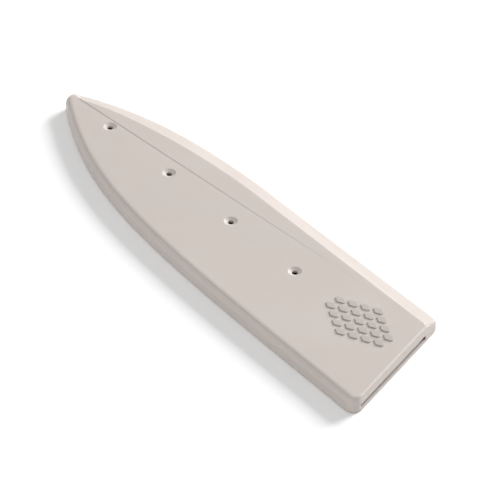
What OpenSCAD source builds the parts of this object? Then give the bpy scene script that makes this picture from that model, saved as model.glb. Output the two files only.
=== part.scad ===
// Knife blade guard: a rigid slip-on sheath for a chef's knife, lying on its back.
// +X runs from the tip to the mouth, +Y to the spine side, +Z up out of the face.
// The origin is the middle of the footprint, on the surface that the guard lies on.

/* [Body] */
// Overall length from the tip to the far corner of the mouth, mm
body_l = 220.5; // [205:0.5:235]
// Overall width across the spine and the cutting edge, mm
body_w = 57.6; // [54:0.2:62]
// Thickness of the two shells together, without the grip pads, mm
body_t = 7.4; // [7:0.1:8.4]
// Angle by which the mouth leans away from square, degrees
mouth_slant = 17.5; // [0:0.5:22]
// Radius of the rounded tip in plan, mm
tip_r = 5.2; // [4.8:0.1:6]
// Radius of the mouth corner on the cutting-edge side, in plan, mm
edge_corner_r = 3.6; // [3:0.1:4.2]
// Radius of the mouth corner on the spine side, in plan, mm
spine_corner_r = 3.0; // [2:0.1:4]

/* [Spine band] */
// Width of the sloping band along the spine, mm
band_w = 7.8; // [7:0.1:9]
// Fall of the band towards the spine, degrees
band_slope = 20; // [12:0.5:22]
// Rounding where the band turns down into the spine wall, mm
band_round = 1.3; // [0.8:0.1:1.6]

/* [Edges] */
// Rounding of the face along the cutting edge and the tip, mm
shoulder_r = 2.6; // [1.5:0.1:2.8]
// Rounding of the face at the mouth, mm
mouth_r = 0.9; // [0.5:0.1:1.2]
// Rounding of the underside, mm
base_r = 0.7; // [0.4:0.1:0.9]

/* [Blade pocket] */
// Height of the slot that the blade slides into, mm
slot_h = 2.0; // [1.6:0.1:2.6]
// Thickness of the back plate, mm
floor_t = 1.3; // [1.1:0.1:1.6]
// Wall of the face, mm
roof_t = 1.8; // [1.5:0.1:2]
// Thickness of the end wall above the slot, mm
lip_t = 2.0; // [1.4:0.1:3]
// Width of the wall beside the back plate on the cutting-edge side, mm
edge_wall = 4.4; // [4:0.1:4.6]
// Width of the wall beside the back plate on the spine side, mm
spine_wall = 2.6; // [2.2:0.1:3]
// Width of the ledge that the back plate is welded to, mm
ledge_w = 1.0; // [0.6:0.1:1.2]
// Gap all round the back plate, mm
plate_gap = 0.1; // [0.05:0.01:0.2]

/* [Vents] */
// Number of dished vent holes along the centre line
vent_n = 4; // [1:1:4]
// Distance between the vent holes, mm
vent_pitch = 40; // [36:0.5:42]
// Diameter of each vent hole, mm
vent_d = 2.5; // [1.5:0.1:3]
// Diameter of the dish around each vent hole, mm
dish_d = 5.6; // [4.5:0.1:6.5]
// Depth of the dish, mm
dish_h = 0.9; // [0.5:0.05:1]

/* [Grip pads] */
// Half of the long diagonal of one grid cell, mm
cell_a = 4.68; // [4.4:0.02:5]
// Half of the short diagonal of one grid cell, mm
cell_b = 2.38; // [2.2:0.02:2.6]
// Size of a pad as a share of its grid cell
pad_share = 0.64; // [0.55:0.01:0.7]
// Height that a pad stands proud of the face, mm
pad_proud = 0.4; // [0.2:0.05:0.6]
// Depth that a pad is seated in the face, mm
pad_seat = 0.5; // [0.3:0.05:0.8]
// Rounding of the pad corners in plan, mm
pad_r = 0.45; // [0.2:0.05:0.6]

/* [Hidden] */
$fn = 64;

half_l = body_l / 2;
half_w = body_w / 2;
ridge_y = half_w - band_w;
// the line through the vent holes and the grip pattern
mid_y = half_w - 26.2;
vent_x0 = -half_l + 29.45;
grip_x = half_l - 32.65;
k = tan(mouth_slant);
ksec = sqrt(1 + k * k);
nm = [1 / ksec, k / ksec];
// the mouth is the line x + k * y = mouth_c, set so that the far corner ends at half_l
mouth_c = half_l - edge_corner_r + k * (-half_w + edge_corner_r) + edge_corner_r * ksec;
function mouth_x(y, inset = 0) = mouth_c - inset * ksec - k * y;

// Tip and the two long curves, as cubic arcs that leave the tip circle smoothly
tip_c = [-half_l + tip_r, 3.9];
tip_up = 27.4;
tip_dn = 28.6;
sx = body_l / 220.5;
spine_a = tip_c + tip_r * [-sin(tip_up), cos(tip_up)];
spine_p = [spine_a, spine_a + 24.8 * sx * [cos(tip_up), sin(tip_up)], [-65.4 * sx, half_w], [0, half_w]];
edge_a = tip_c + tip_r * [-sin(tip_dn), -cos(tip_dn)];
edge_p = [edge_a, edge_a + 53.7 * sx * [cos(tip_dn), -sin(tip_dn)], [-25.2 * sx, -half_w], [80 * sx, -half_w]];
ridge_a = tip_c + [1.25, 0];
ridge_p = [ridge_a, ridge_a + 12.3 * [cos(31.5), sin(31.5)], [-52.8 * sx, ridge_y], [-4.5 * sx, ridge_y]];

function bez(p, t) = pow(1 - t, 3) * p[0] + 3 * pow(1 - t, 2) * t * p[1] + 3 * (1 - t) * t * t * p[2] + pow(t, 3) * p[3];
function dbez(p, t) = 3 * pow(1 - t, 2) * (p[1] - p[0]) + 6 * (1 - t) * t * (p[2] - p[1]) + 3 * t * t * (p[3] - p[2]);
function unit(v) = v / norm(v);
// left-hand normal of a curve that runs from the tip to the mouth
function lnorm(p, t) = let (d = unit(dbez(p, t))) [-d[1], d[0]];
function mix(a, b, f) = a + (b - a) * f;
function smooth(f) = let (g = max(0, min(1, f))) g * g * (3 - 2 * g);

// ---- one section of the front shell for every place round its outline ----
// [outer point, top-face point, height where the top would meet the wall, top rounding]
nb = 26;   // steps along each long curve
nt = 12;   // steps round the tip
nc = 6;    // steps round each mouth corner
fall = tan(band_slope);

ec = [mouth_x(-half_w + edge_corner_r, edge_corner_r), -half_w + edge_corner_r];
sc = [mouth_x(half_w - spine_corner_r, spine_corner_r), half_w - spine_corner_r];
top_m = mouth_r + 0.3;     // inset of the flat face at the mouth
top_e = shoulder_r + 0.4;  // inset of the flat face along the cutting edge
rc = 0.8;                  // plan rounding of the ridge's end
rsc = [mouth_x(ridge_y - rc, top_m + rc), ridge_y - rc];
er = 1.6;                  // plan rounding of the flat face at the edge corner
rec = [mouth_x(-half_w + top_e + er, top_m + er), -half_w + top_e + er];

function dir(a) = [cos(a), sin(a)];
sections = concat(
    // spine side, from the mouth to the tip
    [for (i = [nb : -1 : 0]) let (t = i / nb, o = bez(spine_p, t), r = bez(ridge_p, t))
        [o, r, body_t - fall * norm(o - r), band_round]],
    // round the tip, where the band dies out
    [for (i = [1 : nt - 1]) let (f = i / nt, a = mix(90 + tip_up, 270 - tip_dn, f), g = smooth(f * 1.5),
            o = tip_c + tip_r * dir(a), r = mix(ridge_a, tip_c + (tip_r - top_e) * dir(a), g))
        [o, r, body_t - (1 - g) * fall * norm(o - r), mix(band_round, shoulder_r, g)]],
    // cutting-edge side, from the tip to the mouth
    [for (i = [0 : nb]) let (t = i / nb, o = bez(edge_p, t))
        [o, o + top_e * lnorm(edge_p, t), body_t, shoulder_r]],
    // mouth corner on the cutting-edge side
    [for (i = [0 : nc]) let (f = i / nc, a = mix(-90, mouth_slant, f))
        [ec + edge_corner_r * dir(a), rec + er * dir(a), body_t, mix(shoulder_r, mouth_r, f)]],
    // along the mouth
    [for (y = [-14, 2, 14, ridge_y - 1, ridge_y]) let (yr = min(y, ridge_y - 1.2))
        [[mouth_x(y), y], [mouth_x(yr, top_m), yr], body_t, mouth_r]],
    // mouth corner on the spine side
    [for (i = [0 : nc]) let (f = i / nc, a = mix(mouth_slant, 90, f), o = sc + spine_corner_r * dir(a))
        [o, rsc + rc * dir(a), body_t - fall * (o[1] - ridge_y), mix(mouth_r, band_round, f)]]
);

// rings of the skin: [angle of the rounding, 0 bottom or 1 top]
rings = [[90, 0], [45, 0], [0, 0], [0, 1], [25, 1], [50, 1], [72, 1], [90, 1]];
function skin_pt(s, g) = let (d = unit(s[1] - s[0]), w = norm(s[1] - s[0]), r = g[1] == 0 ? base_r : s[3],
        i = r * (1 - cos(g[0])), slope = (body_t - s[2]) / w, q = s[0] + d * i)
    [q[0], q[1], g[1] == 0 ? r * (1 - sin(g[0])) : s[2] + slope * i - r * (1 - sin(g[0]))];

module shell_skin() {
    n = len(sections);
    m = len(rings) + 1;
    pts = concat(
        [for (g = rings) for (s = sections) skin_pt(s, g)],
        [for (s = sections) [s[1][0], s[1][1], body_t]]
    );
    polyhedron(pts, concat(
        [[for (i = [0 : n - 1]) i]],
        [for (j = [0 : m - 2]) for (i = [0 : n - 1]) let (a = j * n + i, b = j * n + (i + 1) % n) [a, a + n, b]],
        [for (j = [0 : m - 2]) for (i = [0 : n - 1]) let (a = j * n + i, b = j * n + (i + 1) % n) [b, a + n, b + n]],
        [[for (i = [n - 1 : -1 : 0]) (m - 1) * n + i]]
    ));
}

// ---- plan of the back plate and of its recess, set in from the outline ----
// x_out is how far the plan runs past the mouth
function plate_plan(inset, x_out) = let (s_in = spine_wall + inset, e_in = edge_wall + inset) concat(
    [[mouth_x(half_w - s_in) + x_out, half_w - s_in]],
    [for (i = [nb : -1 : 0]) bez(spine_p, i / nb) - s_in * lnorm(spine_p, i / nb)],
    [for (i = [1 : 7]) let (f = i / 8, a = mix(90 + tip_up, 270 - tip_dn, f)) tip_c + (tip_r - mix(s_in, e_in, f)) * dir(a)],
    [for (i = [0 : nb]) bez(edge_p, i / nb) + e_in * lnorm(edge_p, i / nb)],
    [[mouth_x(-half_w + e_in) + x_out, -half_w + e_in]]
);

// ---- plan of the blade pocket above the plate ----
web = 0.8; // the pocket keeps this far inside the ridge
slot_lo = -half_w + edge_wall;
slot_hi = ridge_y - web;
function pocket_plan() = let (e_in = edge_wall + ledge_w) concat(
    [[mouth_x(slot_hi, lip_t), slot_hi]],
    [for (i = [nb : -1 : 2]) bez(ridge_p, i / nb) - web * lnorm(ridge_p, i / nb)],
    [for (i = [3 : nb]) bez(edge_p, i / nb) + e_in * lnorm(edge_p, i / nb)],
    [[mouth_x(-half_w + e_in, lip_t), -half_w + e_in]]
);

// ---- plan of the hollow behind the band, which keeps its wall even ----
ch_lo = ridge_y + 1.2;
ch_hi = half_w - spine_wall - ledge_w;
function channel_plan() = [
    [mouth_x(ch_hi, 2.4), ch_hi], [-20, ch_hi], [-36, ch_hi - 0.9], [-36, ch_lo - 0.9], [-20, ch_lo], [mouth_x(ch_lo, 2.4), ch_lo]
];

dish_R = (pow(dish_d / 2, 2) + dish_h * dish_h) / (2 * dish_h);

// one pad outline: a diamond with rounded corners
pa = cell_a * pad_share;
pb = cell_b * pad_share;
function corner(c, a0, a1) = [for (j = [0 : 3]) c + pad_r * dir(mix(a0, a1, j / 3))];
pn = atan2(pa, pb); // direction of a side's normal
ca = pa - pad_r / cos(pn);
cb = pb - pad_r / sin(pn);
pad_plan = concat(
    corner([ca, 0], -pn, pn), corner([0, cb], pn, 180 - pn),
    corner([-ca, 0], 180 - pn, 180 + pn), corner([0, -cb], 180 + pn, 360 - pn)
);
// 5 x 5 diamond grid without the two cells at the ends of its long diagonal
cells = [for (i = [-2 : 2]) for (j = [-2 : 2]) if (abs(i + j) < 4) [grip_x + (i + j) * cell_a, mid_y + (i - j) * cell_b]];

module front_shell() color([0.80, 0.765, 0.74]) difference() {
    shell_skin();
    // recess for the back plate
    translate([0, 0, -1]) linear_extrude(floor_t + 1) polygon(plate_plan(0, 5));
    // blade pocket
    translate([0, 0, floor_t - 0.01]) linear_extrude(body_t - roof_t - floor_t + 0.01) polygon(pocket_plan());
    // slot through the end wall
    translate([0, 0, floor_t - 0.01]) linear_extrude(slot_h + 0.01)
        polygon([[mouth_x(slot_hi, lip_t + 0.5), slot_hi], [mouth_x(slot_lo, lip_t + 0.5), slot_lo],
                 [mouth_x(slot_lo) + 5, slot_lo], [mouth_x(slot_hi) + 5, slot_hi]]);
    // hollow behind the band
    translate([0, 0, floor_t - 0.01]) linear_extrude(body_t - fall * (ch_hi - ridge_y) - roof_t - floor_t + 0.01) polygon(channel_plan());
    // dished vent holes
    for (i = [0 : vent_n - 1]) translate([vent_x0 + vent_pitch * i, mid_y, 0]) {
        translate([0, 0, body_t - dish_h + dish_R]) sphere(dish_R);
        translate([0, 0, body_t - roof_t - 1]) cylinder(h = roof_t + 2, d = vent_d);
    }
    // seats of the grip pads
    for (c = cells) translate([c[0], c[1], body_t - pad_seat]) linear_extrude(pad_seat + 1) polygon(pad_plan);
}

module back_plate() color([0.78, 0.745, 0.72])
    linear_extrude(floor_t) polygon(plate_plan(plate_gap, 0));

module grip_pads() color([0.69, 0.655, 0.63])
    for (c = cells) translate([c[0], c[1], body_t - pad_seat]) linear_extrude(pad_seat + pad_proud) polygon(pad_plan);

front_shell();
back_plate();
grip_pads();
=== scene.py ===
import math
import bpy
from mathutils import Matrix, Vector

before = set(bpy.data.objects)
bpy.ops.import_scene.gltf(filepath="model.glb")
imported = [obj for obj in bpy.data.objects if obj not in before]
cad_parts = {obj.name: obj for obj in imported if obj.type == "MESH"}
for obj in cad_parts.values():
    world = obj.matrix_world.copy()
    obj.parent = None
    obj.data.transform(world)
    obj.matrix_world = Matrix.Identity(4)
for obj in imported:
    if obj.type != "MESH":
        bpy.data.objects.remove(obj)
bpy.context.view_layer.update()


def plastic(name, base, dark, warm, rough, bump, scale, sss):
    """Frosted moulded plastic: slow tone drift, a little pink, a fine moulded grain."""
    m = bpy.data.materials.new(name)
    m.use_nodes = True
    nt = m.node_tree
    b = nt.nodes["Principled BSDF"]
    tc = nt.nodes.new("ShaderNodeTexCoord")
    drift = nt.nodes.new("ShaderNodeTexNoise")
    drift.inputs["Scale"].default_value = 22.0
    drift.inputs["Detail"].default_value = 3.0
    nt.links.new(tc.outputs["Object"], drift.inputs["Vector"])
    ramp = nt.nodes.new("ShaderNodeValToRGB")
    ramp.color_ramp.elements[0].position = 0.3
    ramp.color_ramp.elements[0].color = (*dark, 1)
    ramp.color_ramp.elements[1].position = 0.7
    ramp.color_ramp.elements[1].color = (*base, 1)
    mid = ramp.color_ramp.elements.new(0.5)
    mid.color = (*warm, 1)
    nt.links.new(drift.outputs["Fac"], ramp.inputs["Fac"])
    nt.links.new(ramp.outputs["Color"], b.inputs["Base Color"])
    # fine grain left by the mould, in roughness and bump
    grain = nt.nodes.new("ShaderNodeTexNoise")
    grain.inputs["Scale"].default_value = scale
    grain.inputs["Detail"].default_value = 5.0
    nt.links.new(tc.outputs["Object"], grain.inputs["Vector"])
    rr = nt.nodes.new("ShaderNodeMapRange")
    rr.inputs["To Min"].default_value = rough - 0.05
    rr.inputs["To Max"].default_value = rough + 0.07
    nt.links.new(grain.outputs["Fac"], rr.inputs["Value"])
    nt.links.new(rr.outputs["Result"], b.inputs["Roughness"])
    bp = nt.nodes.new("ShaderNodeBump")
    bp.inputs["Strength"].default_value = bump
    bp.inputs["Distance"].default_value = 0.00005
    nt.links.new(grain.outputs["Fac"], bp.inputs["Height"])
    nt.links.new(bp.outputs["Normal"], b.inputs["Normal"])
    b.inputs["Subsurface Weight"].default_value = sss
    b.inputs["Subsurface Radius"].default_value = (0.0022, 0.0018, 0.0016)
    b.inputs["Subsurface Scale"].default_value = 1.0
    b.inputs["Specular IOR Level"].default_value = 0.35
    return m


shell = plastic("frosted_shell", (0.485, 0.442, 0.41), (0.465, 0.425, 0.397), (0.48, 0.430, 0.400), 0.5, 0.25, 1800.0, 0.25)
plate = plastic("frosted_plate", (0.465, 0.425, 0.395), (0.45, 0.410, 0.38), (0.455, 0.413, 0.387), 0.55, 0.25, 1600.0, 0.2)
soft = plastic("soft_grip", (0.40, 0.367, 0.342), (0.38, 0.350, 0.328), (0.39, 0.355, 0.332), 0.7, 0.5, 2600.0, 0.05)
for node, mat in (("front_shell", shell), ("back_plate", plate), ("grip_pads", soft)):
    ob = bpy.data.objects[node]
    ob.data.materials.clear()
    ob.data.materials.append(mat)

# camera at the photograph's viewing angle
cam_d = bpy.data.cameras.new("camera")
cam_d.sensor_fit = "HORIZONTAL"
cam_d.sensor_width = 36.0
cam_d.lens = 36.0 * 2894.8 / 500.0
cam_d.clip_start = 0.05
cam_d.clip_end = 20.0
cam = bpy.data.objects.new("camera", cam_d)
bpy.context.scene.collection.objects.link(cam)
eye = Vector((0.7003, -0.5532, 0.7289))
aim = Vector((0.01813, -0.00288, 0.0074))
cam.location = eye
cam.rotation_euler = (aim - eye).to_track_quat("-Z", "Y").to_euler()
bpy.context.scene.camera = cam

# plain pale floor
fm = bpy.data.materials.new("pale_floor")
fm.use_nodes = True
fb = fm.node_tree.nodes["Principled BSDF"]
fb.inputs["Base Color"].default_value = (0.93, 0.93, 0.93, 1)
fb.inputs["Roughness"].default_value = 0.9
fb.inputs["Specular IOR Level"].default_value = 0.0
me = bpy.data.meshes.new("floor")
s = 4.0
me.from_pydata([(-s, -s, 0), (s, -s, 0), (s, s, 0), (-s, s, 0)], [], [(0, 1, 2, 3)])
floor = bpy.data.objects.new("floor", me)
floor.location.z = -0.0001
bpy.context.scene.collection.objects.link(floor)
me.materials.append(fm)


def area(name, pos, size, watts):
    l = bpy.data.lights.new(name, "AREA")
    l.shape = "SQUARE"
    l.size = size
    l.energy = watts
    o = bpy.data.objects.new(name, l)
    o.location = pos
    o.rotation_euler = (Vector((0, 0, 0)) - Vector(pos)).to_track_quat("-Z", "Y").to_euler()
    bpy.context.scene.collection.objects.link(o)


# soft key from the spine side, low, with a wide fill from above
area("key", (0.0, 1.55, 0.70), 0.9, 50.0)
area("fill_low", (-0.3, -1.7, 0.45), 1.4, 10.0)
area("fill_top", (0.3, -0.9, 1.8), 2.2, 10.0)
w = bpy.data.worlds.new("studio")
bpy.context.scene.world = w
w.use_nodes = True
w.node_tree.nodes["Background"].inputs["Color"].default_value = (1, 1, 1, 1)
w.node_tree.nodes["Background"].inputs["Strength"].default_value = 0.45
bpy.context.scene.view_settings.view_transform = "Standard"
